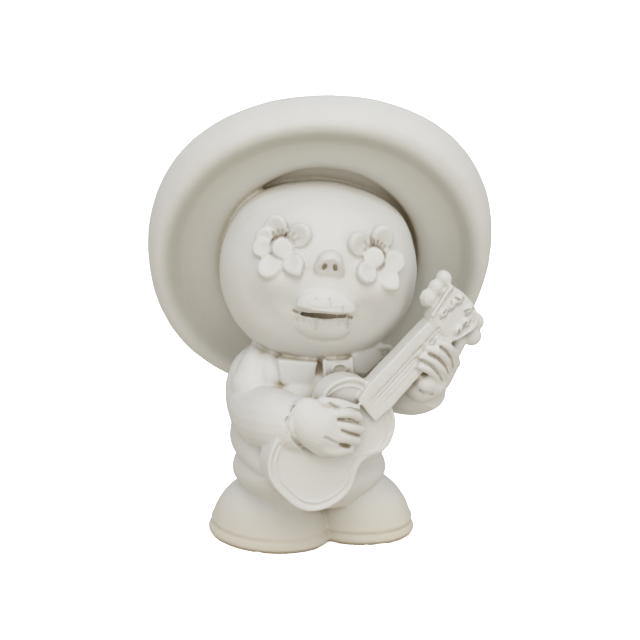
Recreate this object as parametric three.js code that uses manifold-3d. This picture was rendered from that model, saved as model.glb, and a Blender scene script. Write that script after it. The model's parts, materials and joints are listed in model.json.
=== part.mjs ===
// A small cast figurine: a skeleton musician in a very wide hat, playing a guitar.
// Millimetres. X is the viewer's right, Y goes back, Z goes up, and it stands on Z = 0.
import * as THREE from 'three';
import { mergeVertices } from 'three/addons/utils/BufferGeometryUtils.js';
import Module from 'manifold-3d';

const wasm = await Module();
wasm.setup();

// Driving dimensions. Half sizes are in the order X, Y, Z, and angles are in degrees.
const LEG = { apart: 15, foot: 23.2, dome: [22.4, 22.9], narrow: 0.79, turn: -40, tall: 23, hem: 3.5 };
const HEM_EDGE = 0.7;
const TORSO = { middle: [-1.1, -2], bottom: 12, sash: 21, jacket: 30.5, half: 27.8, top: 73, depthShare: 0.75 };
const SASH_DIP = 0.045;
const HEAD = { centre: [3.3, 2.8, 95.5], half: [34.3, 33, 30.8], jaw: 1.08, turn: -8, lift: -16, roll: 7.5 };
const HAT = { centre: [6, 10.8, 95.6], opening: 38.4, brim: 61.2, thick: 5.4, turn: -13, tip: -69.3 };
const HAT_CROWN = 34;
const HAT_WAVE = 0.014;
const HAT_WIDEN = 0.012;
const HAT_SQUEEZE = { share: 0.09, ends: 9, below: 9 };
const GUITAR = { neckFoot: [13.3, -29.3, 54.6], turn: 9.8, tip: 90, slope: 42.1 };
const BODY = { length: 48, half: 18.3, middle: -17.6, across: 1.2, deep: 7.5, rim: 1.7, rimHigh: 0.8 };
const WAIST = { share: 0.28, at: -14.8, wide: 6.5 };
const NECK = { left: 7.9, right: -4.8, top: 2.2, deep: 6, foot: -2.4, headStart: 35.5, headEnd: 50 };
const STRING = { places: [3.4, 2.1, 0.8, -0.8], start: 5, half: 0.35, high: 0.3 };
const POST = {
  half: [1.5, 1.4, 0.9],
  places: [[39.7, 5.9], [43.5, 5.5], [46.6, 4.9], [46.9, -0.6], [43.2, -3.1], [39.6, -3]],
};
const BEAD = 0.9;
const KNOBS = [
  { at: [48.4, 13.2, -0.6], half: [2.7, 3.1, 2.6] },
  { at: [44.2, 13.2, -0.8], half: [3, 3.3, 2.7] },
  { at: [40, 12.2, -1], half: [3.5, 3.9, 3] },
  { at: [46.2, -8.3, -1.2], half: [2.8, 3.3, 2.6] },
  { at: [42.9, -10.9, -1.4], half: [3.1, 3.4, 2.8] },
];

// The arms start inside the chest and end at the cuffs.
const STRUMMING_ARM = {
  path: [[-9, 5, 64], [-18, 1.4, 58.6], [-20.2, -8, 51], [-17, -24, 50.8], [-9.4, -31.4, 51.8]],
  radii: [9, 11, 11, 10.8, 9.2],
};
const FRETTING_ARM = {
  path: [[9, 5, 64], [20.5, 2, 58.6], [28, -5, 55], [34, -12.2, 54.8], [38.6, -18, 57.6]],
  radii: [9, 10.6, 10.6, 10, 8.6],
};

// The hands are laid out on the guitar: X along the neck, Y across it, Z out of the soundboard.
const STRUMMING_HAND = {
  palms: [
    {
      path: [[-16.8, 16.4, -0.6], [-17.4, 13.4, 2], [-16.8, 10.6, 3.2], [-16, 7, 3.2]],
      radii: [6.6, 7.2, 7.4, 6.8],
      flat: 0.7,
    },
    { path: [[-20, 13, 1.6], [-19.4, 6, 2.4], [-17, 0, 2.4]], radii: [5, 5, 3.4], flat: 0.7 },
  ],
  digits: [
    { radius: 2, path: [[-10, 17, 2.8], [-6.3, 11.4, 3.2], [-3.7, 5.6, 2.6]] },
    { radius: 1.9, path: [[-11.5, 12.5, 4.4], [-7.2, 8.4, 5], [-5.2, 2.9, 3.2]] },
    { radius: 2, path: [[-13.2, 10, 5], [-9.8, 4.4, 5.6], [-7.7, -0.8, 3.4]] },
    { radius: 2.2, path: [[-16.4, 10.7, 4.8], [-13.9, 4, 5.6], [-11.2, -2.3, 3.4]] },
    { radius: 2.6, path: [[-21, 9, 4], [-18.7, 2.2, 4.4], [-15, -2.6, 2.8]] },
  ],
};
const FRETTING_HAND = {
  palms: [
    { path: [[19, -11.6, -4.6], [24, -13.4, -5], [30, -13, -5]], radii: [6.6, 6.2, 5], flat: 1 },
    { path: [[19.6, -9.6, -0.8], [21.6, -13.6, -2.6]], radii: [4.2, 4.8], flat: 1 },
    { path: [[33, -11, -3.6], [37.6, -8.8, -2.4]], radii: [3.6, 3.4], flat: 1 },
  ],
  digits: [
    { radius: 2, path: [[32.2, -14.6, -2.6], [33, -8.1, 1.6], [32.8, -3.2, 3.2], [31.7, -0.4, 3]] },
    { radius: 2.1, path: [[29.8, -15, -2.4], [30, -8.6, 1.8], [29.2, -2, 3.6], [27.7, 1, 3.2]] },
    { radius: 2.1, path: [[26.6, -14.8, -1.6], [26.4, -8.8, 2.2], [25.6, -2.6, 3.6], [24.4, 0.6, 3.2]] },
    { radius: 2, path: [[23.4, -14.9, -1.2], [23.5, -9.3, 2], [22.9, -4.7, 3.2], [21.7, -1.6, 2.9]] },
  ],
};

// Each piece of the collar is an outline seen from the front, from its back to its front.
const COLLAR = [
  { outline: [[-6, -3.6], [-4.6, -5], [6.8, -5.2], [6.6, 0.6], [7.6, 4], [-6.8, 5]],
    back: -5, front: 0.7, lean: -12, at: [-9, -17.2, 65] },
  { outline: [[-6.6, -2.8], [-0.6, -4.8], [7.2, 0.4], [5.8, 5.6], [-6.8, 5]],
    back: -6, front: 0.7, lean: 20, at: [15.9, -16.5, 66.4] },
  { outline: [[-5, -3.4], [5, -3.8], [5, 3], [-4.8, 3.4]],
    back: -8, front: 0.6, lean: 0, at: [4.3, -20.4, 66.4] },
];
const SCARF_RING = { radius: 2.4, wire: 0.65, at: [4.8, -21.2, 66.4] };
const COLLAR_FOLDS = [
  { path: [[-0.1, -20, 69.4], [-0.1, -20.8, 63.8]], radii: [1, 1] },
  { path: [[9.1, -20, 69.4], [9.1, -20.8, 63.8]], radii: [1, 1] },
  { path: [[-18.5, 0, 69.6], [-20.6, -5, 65], [-22.4, -7, 58.5]], radii: [3.2, 6, 7.6] },
  { path: [[20.4, -15, 71.6], [25, -13.4, 69.2], [23.4, -14, 66.6]], radii: [1.5, 1.3, 1.1] },
  { path: [[18.6, -15.4, 73], [22.2, -13.6, 75.6]], radii: [1.1, 1] },
];
const SHIRT = [{ at: [-6, -15, 55], half: [12, 8, 6.6] }, { at: [4, -16, 60], half: [9, 7, 6] }];

// The face, in the head's own frame.
const CHEEKS = [
  { at: [23, -6, 21.5], reach: 20, push: [1.2, 0, 1.2] },
  { at: [17, -27, -6], reach: 12, push: [0.7, -1.4, 0] },
  { at: [18, -23, -18], reach: 12, push: [-0.6, 1.2, 0] },
  { at: [13.5, -28, -13], reach: 7, push: [0, 1, 0] },
  { at: [15.1, -30, 4.2], reach: 12, push: [0, 1.2, 0] },
];
const MUZZLE = { at: [0.8, -29, -14], reach: 14, push: [0, -1.6, 0] };
const NOSE = { at: [0.5, -33.4, -0.3], half: [4.9, 5, 4] };
const NOSE_TIP = { at: [0.5, -37.4, -2.6], reach: 5, push: [0, 2.6, 0] };
const NOSTRIL = { apart: 1.75, at: [0.4, -36.6, -0.9], half: [0.55, 2.4, 1.1], lean: 16 };
const UPPER_TEETH = { at: [0.9, -30.8, -14], half: [10.2, 4.2, 6.8], lean: 18, below: 0.08 };
const LOWER_TEETH = { at: [1, -24.9, -20], half: [9.4, 3, 5.6], lean: 42 };
const MOUTH_SLIT = {
  outline: [
    [-9.3, -15.4], [-4.8, -15.9], [-0.5, -15.4], [4.8, -15.3], [8.2, -14.8], [10.5, -15.7], [10.3, -16.4],
    [8.2, -15.8], [6.2, -16.4], [3.4, -17], [0.6, -17.5], [-2.9, -17.4], [-6.1, -16.8], [-9.1, -16],
  ],
  from: 28,
  to: 45,
};

// A flower is a disc with petals, each at an angle, a distance and a size, with its lift.
const FLOWER = { across: 15.1, high: 4.2, disc: [3.8, 2.2, 3.8], flatAt: 1, petal: [4.5, 3, 4.2], proud: 0.5 };
const LEFT_PETALS = [
  [109, 7.3, 1, 18], [42, 7, 1.02, 22], [151, 6.8, 0.78, 20],
  [184, 6.8, 0.76, 22], [243, 7.4, 1.02, 24], [308, 6.4, 0.92, 24],
];
const RIGHT_PETALS = [
  [72, 7.4, 1.04, 18], [145, 6.8, 1.02, 20], [357, 7.1, 0.98, 22], [312, 8.4, 1, 24], [248, 5.6, 0.96, 24],
];

const rad = THREE.MathUtils.degToRad;
const clay = new THREE.MeshStandardMaterial({ color: 0xe6e2da, roughness: 0.95, metalness: 0 });

// A closed geometry as a solid. Faces that close up to a line are left out.
function solid(geometry) {
  const bare = geometry.clone();
  bare.deleteAttribute('normal');
  bare.deleteAttribute('uv');
  const merged = mergeVertices(bare, 1e-4);
  const corners = merged.index.array;
  const faces = [];
  for (let i = 0; i < corners.length; i += 3) {
    const [a, b, c] = corners.slice(i, i + 3);
    if (a !== b && b !== c && c !== a) faces.push(a, b, c);
  }
  return new wasm.Manifold(new wasm.Mesh({
    numProp: 3,
    vertProperties: merged.attributes.position.array,
    triVerts: Uint32Array.from(faces),
  }));
}

function joined(solids) {
  return solids.reduce((whole, next) => whole.add(next));
}

// Moves every vertex of a geometry by a rule.
function reshape(geometry, rule) {
  const position = geometry.attributes.position;
  const point = new THREE.Vector3();
  for (let i = 0; i < position.count; i += 1) {
    rule(point.fromBufferAttribute(position, i));
    position.setXYZ(i, point.x, point.y, point.z);
  }
  return geometry;
}

// Pushes the surface near a point; the push fades smoothly to nothing at the reach.
function bulge(geometry, { at, reach, push }) {
  const middle = new THREE.Vector3(...at);
  const shift = new THREE.Vector3(...push);
  return reshape(geometry, (point) => {
    const far = point.distanceTo(middle) / reach;
    if (far < 1) point.addScaledVector(shift, 1 - far * far * (3 - 2 * far));
  });
}

// Squashes or stretches what lies below a limit on one axis.
function flatten(geometry, axis, limit, share) {
  return reshape(geometry, (point) => {
    if (point[axis] < limit) point[axis] = limit + (point[axis] - limit) * share;
  });
}

// An egg shape with its three half sizes, its poles up and down.
function egg({ at, half }, sides = 12, rings = 8) {
  const geometry = new THREE.SphereGeometry(1, sides, rings);
  geometry.rotateX(Math.PI / 2);
  geometry.scale(...half);
  return geometry.translate(...at);
}

// A limb follows a smooth curve through its points, with a radius at each and rounded ends.
// Flat is its thickness as a share of its width, face is the way its flat side looks, and
// tip is how far its end bulges, as a share of its radius.
function limb(points, radii, { sides = 12, rings = 12, flat = 1, face = [0, 0, 1], tip = 1 } = {}) {
  const path = new THREE.CatmullRomCurve3(points.map((p) => new THREE.Vector3(...p)));
  const look = new THREE.Vector3(...face);
  const capShare = 0.25;
  const across = new THREE.Vector3();
  const up = new THREE.Vector3();
  return reshape(new THREE.SphereGeometry(1, sides, rings), (point) => {
    const share = Math.acos(THREE.MathUtils.clamp(point.y, -1, 1)) / Math.PI;
    const around = Math.atan2(point.z, point.x);
    const fromEnd = Math.min(share, 1 - share) / capShare;
    const along = THREE.MathUtils.clamp((share - capShare) / (1 - 2 * capShare), 0, 1);
    const tangent = path.getTangent(along);
    const place = along * (radii.length - 1);
    const before = Math.min(Math.floor(place), radii.length - 2);
    const radius = THREE.MathUtils.lerp(radii[before], radii[before + 1], place - before);
    const bend = Math.min(fromEnd, 1) * Math.PI / 2;
    const past = (share < 0.5 ? -1 : tip) * radius * flat * Math.cos(bend);
    const reach = radius * Math.sin(bend);
    across.crossVectors(tangent, look).normalize();
    up.crossVectors(across, tangent);
    path.getPoint(along, point);
    point.addScaledVector(tangent, past);
    point.addScaledVector(across, reach * Math.cos(around));
    point.addScaledVector(up, -reach * flat * Math.sin(around));
  });
}

// A turned form on an upright axis, from a list of radius and height.
function turned(profile, sides) {
  const points = profile.map(([radius, height]) => new THREE.Vector2(radius, height));
  return new THREE.LatheGeometry(points, sides).rotateX(Math.PI / 2);
}

// An outline in X and Y, pulled out from one height to another, with its edges rounded.
function slab(outline, low, high, round = 0) {
  const shape = new THREE.Shape(outline.map(([x, y]) => new THREE.Vector2(x, y)));
  const geometry = new THREE.ExtrudeGeometry(shape, {
    depth: high - low - 2 * round,
    bevelEnabled: round > 0,
    bevelThickness: round,
    bevelSize: round,
    bevelOffset: -round,
    bevelSegments: 1,
  });
  return geometry.translate(0, 0, low + round);
}

function box(low, high) {
  const size = high.map((value, i) => value - low[i]);
  const middle = high.map((value, i) => (value + low[i]) / 2);
  return new THREE.BoxGeometry(...size).translate(...middle);
}

// A place in space: a point, tipped and rolled there, then turned about the upright.
function frame(origin, turn, tip, roll = 0) {
  const angles = new THREE.Euler(rad(tip), rad(roll), rad(turn), 'ZXY');
  return new THREE.Matrix4().makeRotationFromEuler(angles).setPosition(...origin);
}

const headPlace = frame(HEAD.centre, HEAD.turn, HEAD.lift, HEAD.roll);
const hatPlace = frame(HAT.centre, HAT.turn, HAT.tip);
const guitarPlace = frame(GUITAR.neckFoot, GUITAR.turn, GUITAR.tip)
  .multiply(new THREE.Matrix4().makeRotationZ(rad(GUITAR.slope)));

function onGuitar(point) {
  return new THREE.Vector3(...point).applyMatrix4(guitarPlace).toArray();
}

// The flared trouser leg is a dome with a raised hem round its foot.
function leg(side) {
  const { foot, tall, hem } = LEG;
  const dome = LEG.dome[side < 0 ? 0 : 1];
  const profile = [
    [0, 0], [foot - HEM_EDGE, 0], [foot, HEM_EDGE], [foot - HEM_EDGE / 2, hem - HEM_EDGE], [foot - 0.8, hem],
    [dome - 0.8, hem + 0.2],
  ];
  const steps = 6;
  const start = hem + HEM_EDGE;
  for (let i = 0; i <= steps; i += 1) {
    const height = start + (tall - start) * Math.sin(i / steps * Math.PI / 2);
    profile.push([dome * Math.sqrt(Math.max(0, 1 - (height / tall) ** 2)), height]);
  }
  const geometry = turned(profile, 24);
  geometry.scale(1, LEG.narrow, 1).rotateZ(rad(LEG.turn));
  return solid(geometry.translate(side * LEG.apart, 0, 0));
}

// The trunk: a rolled sash, a notch, the hem of the short jacket, and the chest. The sash
// and the hem dip to the viewer's right, the upper back is rounded, and the belly comes
// forward to the edge of the guitar.
function trunk() {
  const { bottom, sash, jacket, half, top, depthShare } = TORSO;
  const profile = [
    [0, bottom], [half - 8, bottom + 2], [half - 3, sash - 1.6],
    [half - 1.4, sash + 0.6], [half - 0.2, sash + 3.6], [half - 0.6, sash + 6.8],
    [half - 1.9, jacket], [half - 0.8, jacket + 1.6], [half + 0.5, jacket + 4.8],
    [half + 0.4, 39], [half - 0.8, 45], [half - 3, 52], [half - 6.5, 59],
    [half - 11.5, 66], [half - 18, top - 2.5], [0, top],
  ];
  const chest = 45;
  const geometry = reshape(turned(profile, 26), (point) => {
    const rise = Math.max(0, point.z - chest) / (top - chest);
    point.y *= depthShare + 0.1 * rise;
    point.z -= SASH_DIP * point.x * (1 - rise);
  });
  bulge(geometry, { at: [6, 18, 62], reach: 20, push: [0, 5, 0] });
  bulge(geometry, { at: [-19, -14, 34], reach: 18, push: [-1.5, -11, 0] });
  return solid(geometry.translate(...TORSO.middle, 0));
}

// The collar lies in two wings under the chin, with a tied knot and a ring between them,
// and with small folds and the jacket's lapel at its ends.
function collar() {
  const pieces = COLLAR.map(({ outline, back, front, lean, at }) => {
    const piece = slab(outline, back, front, 0.7).rotateX(Math.PI / 2);
    return solid(piece.rotateZ(rad(lean)).translate(...at));
  });
  const folds = COLLAR_FOLDS.map(({ path, radii }) => solid(limb(path, radii, { sides: 8, rings: 8 })));
  const ring = new THREE.TorusGeometry(SCARF_RING.radius, SCARF_RING.wire, 4, 10);
  const tied = solid(ring.rotateX(Math.PI / 2).translate(...SCARF_RING.at));
  const shirt = SHIRT.map((lump) => solid(egg(lump)));
  return joined([...pieces, ...folds, tied, ...shirt]);
}

// The strumming arm, on the viewer's left: shoulder, elbow, and a cuff.
function strummingArm() {
  return solid(limb(STRUMMING_ARM.path, STRUMMING_ARM.radii, { sides: 14, tip: 0.2 }));
}

// The fretting arm, on the viewer's right, reaches forward and up behind the neck.
function frettingArm() {
  return solid(limb(FRETTING_ARM.path, FRETTING_ARM.radii, { sides: 14, tip: 0.4 }));
}

// A hand is a palm with its digits side by side, each a little thinner at its tip.
function hand({ palms, digits }) {
  const face = new THREE.Vector3(0, 0, 1).transformDirection(guitarPlace).toArray();
  const fingers = digits.map(({ radius, path }) => {
    const radii = path.map((_, i) => radius * (1 - 0.06 * i));
    return solid(limb(path.map(onGuitar), radii, { sides: 6, rings: 7 }));
  });
  const heels = palms.map(({ path, radii, flat }) => (
    solid(limb(path.map(onGuitar), radii, { sides: 10, rings: 8, flat, face }))
  ));
  return joined([...heels, ...fingers]);
}

// The guitar body's outline: a rounded box of a curve with a pinched waist.
function bodyOutline(inset, steps) {
  const fullness = 0.72;
  const points = [];
  for (let i = 0; i < steps; i += 1) {
    const angle = i / steps * 2 * Math.PI;
    const [along, side] = [Math.cos(angle), Math.sin(angle)].map((value) => (
      Math.sign(value) * Math.abs(value) ** fullness
    ));
    const x = BODY.middle + (BODY.length / 2 - inset) * along;
    const pinch = 1 - WAIST.share * Math.exp(-(((x - WAIST.at) / WAIST.wide) ** 2));
    points.push([x, BODY.across + (BODY.half * pinch - inset) * side]);
  }
  return points;
}

// The hollow-fronted guitar body: its soundboard lies a little below its raised rim.
function guitarBody() {
  const body = solid(slab(bodyOutline(0, 32), -BODY.deep, BODY.rimHigh, 1));
  const dish = solid(slab(bodyOutline(BODY.rim, 26), 0, BODY.rimHigh + 2));
  return body.subtract(dish);
}

// The neck with its strings. It is cut aslant at its foot.
function guitarNeck() {
  const { left, right, top, deep, foot, headStart } = NECK;
  const end = headStart + 2;
  const outline = [
    [foot, right + 0.4], [5.5, right - 0.5], [end, right], [end, left - 0.6], [5, left], [-1.5, left - 1.2],
    [foot + 0.2, 0],
  ];
  const strings = STRING.places.map((place) => solid(box(
    [STRING.start, place - STRING.half, top - 1],
    [headStart, place + STRING.half, top + STRING.high],
  )));
  return joined([solid(slab(outline, top - deep, top, 0.6)), ...strings]);
}

// The headstock with a bead along its sides, its posts, and the tuning knobs.
function headstock() {
  const { top, deep, headStart: start, headEnd: end } = NECK;
  const high = top + 0.4;
  const outline = [
    [start - 1, -4.8], [start + 1, -5.8], [start + 5, -7.2], [start + 9, -7.6], [end - 3, -6.8],
    [end - 0.8, -4], [end, -0.6], [end, 2.4], [end - 0.4, 6.6], [end - 1.4, 10.8], [end - 2.4, 11.2],
    [start + 8.5, 10.4], [start + 3.6, 9.4], [start + 0.5, 8.9], [start - 1, 7.8],
  ];
  const sides = [
    [[start + 1, 8.3], [start + 5, 9], [end - 6, 9.9], [end - 2.2, 10.3]],
    [[start + 1.6, -4.8], [start + 5, -6], [end - 5, -6.6], [end - 1.8, -4.2]],
  ];
  const beads = sides.map((side) => {
    const path = side.map(([x, y]) => [x, y, high]);
    return solid(limb(path, [BEAD, BEAD], { sides: 6, rings: 8 }));
  });
  const posts = POST.places.map(([x, y]) => solid(egg({ at: [x, y, high], half: POST.half }, 8, 4)));
  const knobs = KNOBS.map((knob) => solid(egg(knob, 8, 5)));
  return joined([solid(slab(outline, top - deep + 1, high, 0.7)), ...beads, ...posts, ...knobs]);
}

// How far forward the plain head surface lies at a place on the face.
function faceDepth(x, z) {
  const [wide, deep, tall] = HEAD.half;
  return -deep * Math.sqrt(1 - (x / wide) ** 2 - (z / tall) ** 2);
}

// The round skull, with temples, cheekbones, hollows beside the jaw, and shallow sockets.
function skull() {
  const geometry = flatten(egg({ at: [0, 0, 0], half: HEAD.half }, 28, 18), 'z', 0, HEAD.jaw);
  for (const side of [-1, 1]) {
    for (const { at, reach, push } of CHEEKS) {
      const mirrored = [at, push].map(([x, y, z]) => [side * x, y, z]);
      bulge(geometry, { at: mirrored[0], reach, push: mirrored[1] });
    }
  }
  return solid(bulge(geometry, MUZZLE));
}

// The turned-up nose with its two nostrils.
function nose() {
  const ridge = bulge(egg(NOSE), NOSE_TIP);
  const nostrils = [-1, 1].map((side) => {
    const [x, y, z] = NOSTRIL.at;
    const hole = egg({ at: [0, 0, 0], half: NOSTRIL.half }, 6, 4).rotateY(rad(-side * NOSTRIL.lean));
    return solid(hole.translate(x + side * NOSTRIL.apart, y, z));
  });
  return solid(ridge).subtract(joined(nostrils));
}

// One flower eye: a flat button with thick petals round it, each flat in front and lifted
// at its outer end.
function flower(side, petals) {
  const middle = [side * FLOWER.across, FLOWER.high];
  const solids = petals.map(([angle, far, size, lift]) => {
    const x = middle[0] + far * Math.cos(rad(angle));
    const z = middle[1] + far * Math.sin(rad(angle));
    const [long, thick, wide] = FLOWER.petal;
    const petal = egg({ at: [0, 0, 0], half: [long * size, thick, wide * size] }, 10, 6);
    flatten(petal, 'y', -thick / 2, 0.2);
    petal.rotateZ(rad(-lift)).rotateY(rad(-angle)).rotateZ(Math.asin(x / HEAD.half[0]));
    return solid(petal.translate(x, faceDepth(x, z) - FLOWER.proud, z));
  });
  const disc = flatten(egg({ at: [0, 0, 0], half: FLOWER.disc }, 12, 8), 'y', -FLOWER.flatAt, 0.35);
  return joined([...solids, solid(disc.translate(middle[0], faceDepth(...middle), middle[1]))]);
}

// The mouth: a dome of upper teeth that is flat below, over a lower row that follows the chin.
function mouth() {
  const upper = flatten(egg({ ...UPPER_TEETH, at: [0, 0, 0] }, 20, 12), 'z', 0, UPPER_TEETH.below);
  const lower = egg({ ...LOWER_TEETH, at: [0, 0, 0] }, 16, 8);
  return joined([[upper, UPPER_TEETH], [lower, LOWER_TEETH]].map(([row, { at, lean }]) => (
    solid(row.rotateX(rad(lean)).translate(...at))
  )));
}

// The head's own solids, with a slit between the two rows of teeth.
function head() {
  const slit = solid(slab(MOUTH_SLIT.outline, MOUTH_SLIT.from, MOUTH_SLIT.to).rotateX(Math.PI / 2));
  const flowers = [flower(-1, LEFT_PETALS), flower(1, RIGHT_PETALS)];
  return joined([skull(), nose(), mouth(), ...flowers]).subtract(slit);
}

// The hat is turned on its own axis: a dished brim with a round edge, a groove round
// the head, and a rounded crown behind. The brim's edge is a little square and leaning, and
// the opening is narrowed from side to side where it closes on the temples.
function hat() {
  const { opening, brim, thick } = HAT;
  const profile = [
    [0, 6.5], [opening - 6, 6.5], [opening - 1.6, 5], [opening - 0.8, 1.6], [opening + 1.4, -0.3],
    [opening + 5, -0.8], [opening + 10.8, -0.4], [opening + 12.6, -1.2], [opening + 15.6, -2.2],
    [opening + 19, -1.5], [brim - 1.9, 0.9], [brim - 0.6, 4.4],
    [brim, 2 * thick], [brim - 1.2, 2 * thick + 2.2], [brim - 4, 2 * thick + 2.6], [opening + 13, thick + 3.6],
    [opening + 7, thick + 2], [opening + 3, thick + 3.6], [opening + 0.6, 14], [opening - 4, 22],
    [opening - 12, HAT_CROWN - 4], [opening - 23, HAT_CROWN - 0.8], [0, HAT_CROWN],
  ];
  return solid(reshape(turned(profile, 36), (point) => {
    const past = Math.hypot(point.x, point.y) - opening;
    const reach = Math.max(0, past) / (brim - opening);
    const angle = Math.atan2(point.y, point.x);
    const stretch = 1 - reach * HAT_WAVE * (Math.sin(2 * angle) + Math.cos(4 * angle));
    const near = point.z < HAT_SQUEEZE.below ? THREE.MathUtils.clamp(1 - past / HAT_SQUEEZE.ends, 0, 1) : 0;
    point.x *= stretch * (1 + HAT_WIDEN * reach) * (1 - HAT_SQUEEZE.share * near);
    point.y *= stretch;
  }));
}

function figurine() {
  const guitar = joined([guitarBody(), guitarNeck(), headstock()]);
  const whole = joined([
    leg(-1), leg(1), trunk(), collar(), strummingArm(), frettingArm(),
    guitar.transform(guitarPlace.toArray()), hand(STRUMMING_HAND), hand(FRETTING_HAND),
    hat().transform(hatPlace.toArray()), head().transform(headPlace.toArray()),
  ]);
  const mesh = whole.getMesh();
  const geometry = new THREE.BufferGeometry();
  geometry.setAttribute('position', new THREE.BufferAttribute(mesh.vertProperties, 3));
  geometry.setIndex(new THREE.BufferAttribute(mesh.triVerts, 1));
  geometry.computeVertexNormals();
  const piece = new THREE.Mesh(geometry, clay);
  piece.name = 'mariachi_figurine';
  return piece;
}

const model = new THREE.Group();
model.add(figurine());

export default model;
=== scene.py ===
# %% [markdown]
# The figure is a small cast ornament in unglazed white clay: a skeleton musician with
# flowers for eyes, a very wide hat tipped back, flared trousers and a little guitar. It
# comes out of one mould, so it is one piece with one finish. All of its shapes are
# modelled one by one here, melted into a single skin, and then carved where the maker's
# tool cut into the soft clay.

import json
import math

import bmesh
import bpy
import numpy as np
from mathutils import Matrix, Vector

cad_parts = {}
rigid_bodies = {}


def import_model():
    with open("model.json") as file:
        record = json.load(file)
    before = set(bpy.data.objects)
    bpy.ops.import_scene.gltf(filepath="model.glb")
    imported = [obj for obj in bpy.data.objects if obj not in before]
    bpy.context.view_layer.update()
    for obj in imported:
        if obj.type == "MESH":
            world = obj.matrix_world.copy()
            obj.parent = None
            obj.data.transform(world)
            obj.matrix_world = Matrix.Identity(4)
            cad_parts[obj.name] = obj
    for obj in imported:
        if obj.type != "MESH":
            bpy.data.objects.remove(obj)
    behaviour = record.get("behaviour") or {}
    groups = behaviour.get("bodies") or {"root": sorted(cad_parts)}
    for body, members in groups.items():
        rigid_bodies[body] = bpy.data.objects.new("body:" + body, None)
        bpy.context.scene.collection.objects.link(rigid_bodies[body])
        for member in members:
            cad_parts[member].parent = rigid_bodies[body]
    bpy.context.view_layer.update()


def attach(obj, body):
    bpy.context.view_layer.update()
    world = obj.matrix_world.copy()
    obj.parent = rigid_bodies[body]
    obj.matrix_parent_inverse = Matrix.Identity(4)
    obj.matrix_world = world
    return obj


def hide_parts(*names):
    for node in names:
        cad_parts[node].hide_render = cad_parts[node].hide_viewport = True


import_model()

# %% [markdown]
# All the sizes are real ones in millimetres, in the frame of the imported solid: X is the
# viewer's right, Y goes back, Z goes up, and the figure stands on Z = 0. The piece is
# modelled in millimetres, because a lens and a clay tool are both easier to think of that
# way, and it is shrunk to metres when it is finished. Angles are in degrees. Left and
# right are the viewer's.

# %% Driving sizes
MM = 0.001
LEG = {"apart": 15, "foot": 23.2, "dome_left": 22.4, "dome_right": 22.9, "tall": 23, "hem": 3.5}
LEG_OVAL = {"narrow": 0.79, "turn": -40}
TORSO = {"middle": (-1.1, -2), "bottom": 12, "sash": 21, "jacket": 30.5, "half": 27.8, "top": 73}
HEAD = {"centre": (3.3, 2.8, 95.5), "half": (34.3, 33, 30.8), "jaw": 1.08}
HEAD_TURN = {"turn": -8, "lift": -16, "roll": 7.5}
HAT = {"centre": (6, 10.8, 95.6), "opening": 38.4, "brim": 61.2, "thick": 5.4}
HAT_TURN = {"turn": -13, "tip": -69.3}
GUITAR = {"neck_foot": (13.3, -29.3, 54.6), "turn": 9.8, "slope": 42.1}
BODY = {"length": 48, "half": 18.3, "middle": -17.6, "across": 1.2, "deep": 7.5}
BODY_RIM = {"wide": 1.7, "high": 0.8, "round": 0.7}
WAIST = {"share": 0.28, "at": -14.8, "wide": 6.5}
NECK = {"left": 7.9, "right": -4.8, "top": 2.2, "deep": 6, "foot": -2.4}
HEADSTOCK = {"start": 35.5, "end": 50}
FLOWER = {"across": 15.1, "high": 4.2, "disc": 3.8, "proud": 0.5}
PETAL = {"long": 4.5, "thick": 3, "wide": 4.2}


def turned_place(centre, turn, tip, roll=0):
    """A place in space: rolled about Y, tipped about X, then turned about the upright."""
    place = Matrix.Translation(centre) @ Matrix.Rotation(math.radians(turn), 4, "Z")
    place = place @ Matrix.Rotation(math.radians(tip), 4, "X")
    return place @ Matrix.Rotation(math.radians(roll), 4, "Y")


head_place = turned_place(HEAD["centre"], HEAD_TURN["turn"], HEAD_TURN["lift"], HEAD_TURN["roll"])
hat_place = turned_place(HAT["centre"], HAT_TURN["turn"], HAT_TURN["tip"])
guitar_place = turned_place(GUITAR["neck_foot"], GUITAR["turn"], 90)
guitar_place = guitar_place @ Matrix.Rotation(math.radians(GUITAR["slope"]), 4, "Z")
print("the head looks along", head_place.to_3x3() @ Vector((0, -1, 0)))

# %% [markdown]
# Every shape starts as one of Blender's primitives, added with nothing else selected and
# then worked on in edit mode. A few small helpers cover what a modeller's hand does again
# and again: start a lump, set it in its place, push or flatten the clay with a thumb,
# draw a curve through points, roll a limb, and spin a section.

# %% Helpers for lumps
clay = []


def begin(name, add, **settings):
    """Adds a primitive with nothing else selected."""
    bpy.ops.object.select_all(action="DESELECT")
    add(**settings)
    piece = bpy.context.object
    piece.name = name
    clay.append(piece)
    return piece


def choose(piece):
    """Makes one piece the only selected one."""
    bpy.ops.object.select_all(action="DESELECT")
    bpy.context.view_layer.objects.active = piece
    piece.select_set(True)


def settle(piece, place=Matrix()):
    """Writes the object's place into its mesh."""
    choose(piece)
    piece.matrix_world = place @ piece.matrix_world
    bpy.ops.object.transform_apply(location=True, rotation=True, scale=True)
    return piece


def egg(name, at, half, sides=48):
    """A round lump with its three half sizes."""
    sphere = bpy.ops.mesh.primitive_uv_sphere_add
    piece = begin(name, sphere, segments=sides, ring_count=sides // 2, radius=1, location=at, scale=half)
    return settle(piece)


def melt(pieces):
    """Joins pieces into the first one."""
    choose(pieces[0])
    for piece in pieces[1:]:
        piece.select_set(True)
        clay.remove(piece)
    bpy.ops.object.join()
    return pieces[0]


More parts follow.
